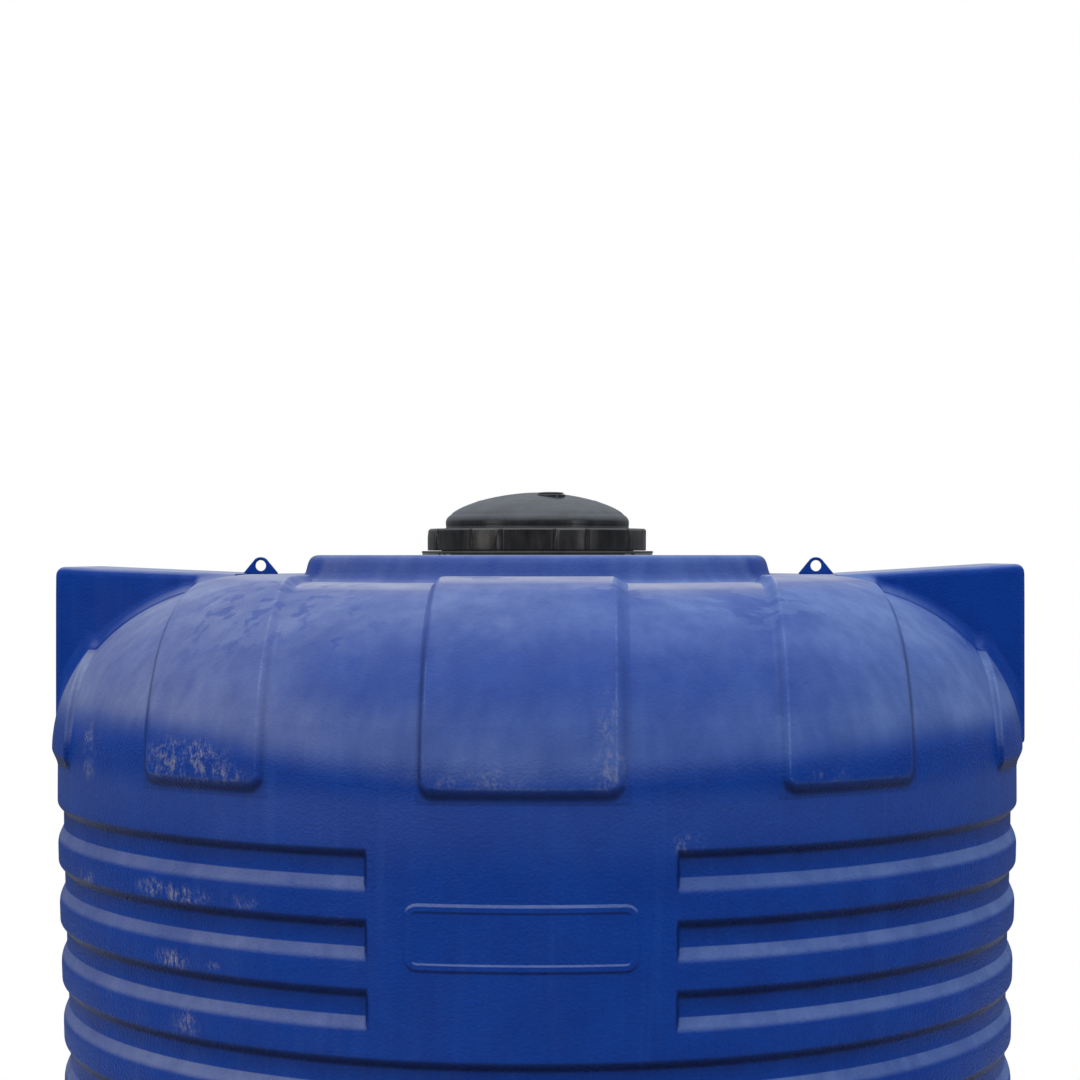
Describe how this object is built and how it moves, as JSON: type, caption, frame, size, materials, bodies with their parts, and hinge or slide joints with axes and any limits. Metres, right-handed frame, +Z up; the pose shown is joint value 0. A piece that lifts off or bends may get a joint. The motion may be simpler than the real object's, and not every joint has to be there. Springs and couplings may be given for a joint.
{
  "type": "vertical water storage tank",
  "caption": "Tall round ribbed plastic water tank with a domed shoulder, strap belts, square shoulder blocks, lifting lugs, a vented screw lid on a raised manway and a ball-valve outlet.",
  "frame": {"origin": "centre of the flat base on the tank's axis, at ground level", "axes": "+Z up along the tank's axis, -Y the front with the blank plate and the outlet, X through the two shoulder blocks"},
  "size_m": [2.4, 2.575, 3.8009],
  "materials": {
    "blue_pe": "rotomoulded polyethylene, fine orange peel, dusty",
    "black_pp": "injection moulded polypropylene, semi-gloss, dusty",
    "rubber": "matt EPDM",
    "steel": "satin stainless",
    "grey_pvc": "satin PVC-U",
    "ptfe": "waxy white",
    "red_lever": "satin ABS"
  },
  "bodies": {
    "tank": {"tank_shell": "blue_pe", "lifting_lug_left": "blue_pe", "lifting_lug_right": "blue_pe", "manway_gasket": "rubber", "manway_collar": "black_pp", "manway_screw_01": "steel", "manway_screw_02": "steel", "manway_screw_03": "steel", "manway_screw_04": "steel", "manway_screw_05": "steel", "manway_screw_06": "steel", "manway_screw_07": "steel", "manway_screw_08": "steel", "outlet_gasket": "rubber", "bulkhead_fitting": "grey_pvc", "bulkhead_nut": "grey_pvc", "valve_body": "grey_pvc", "valve_seat_inner": "ptfe", "valve_seat_outer": "ptfe", "stem_gland_nut": "grey_pvc", "valve_tail": "grey_pvc", "union_nut": "black_pp"},
    "lid": {"lid_dome": "black_pp", "lid_seal": "rubber", "vent_body": "black_pp", "vent_cap": "black_pp", "vent_nut": "black_pp", "vent_screen": "steel"},
    "screw_ring": {"lid_ring": "black_pp"},
    "valve_core": {"valve_ball": "steel", "valve_stem": "steel", "valve_handle": "red_lever", "handle_screw": "steel"}
  },
  "joints": [
    {"name": "lid_lift", "type": "slide", "parent": "tank", "child": "lid", "axis": [0, 0, 1], "range_m": [0, 0.5]},
    {"name": "ring_turn", "type": "hinge", "parent": "lid", "child": "screw_ring", "pos_m": [0, 0, 3.68], "axis": [0, 0, 1], "continuous": true},
    {"name": "valve_turn", "type": "hinge", "parent": "tank", "child": "valve_core", "pos_m": [0, -1.279, 0.15], "axis": [0, 0, -1], "range_deg": [0, 90]}
  ]
}
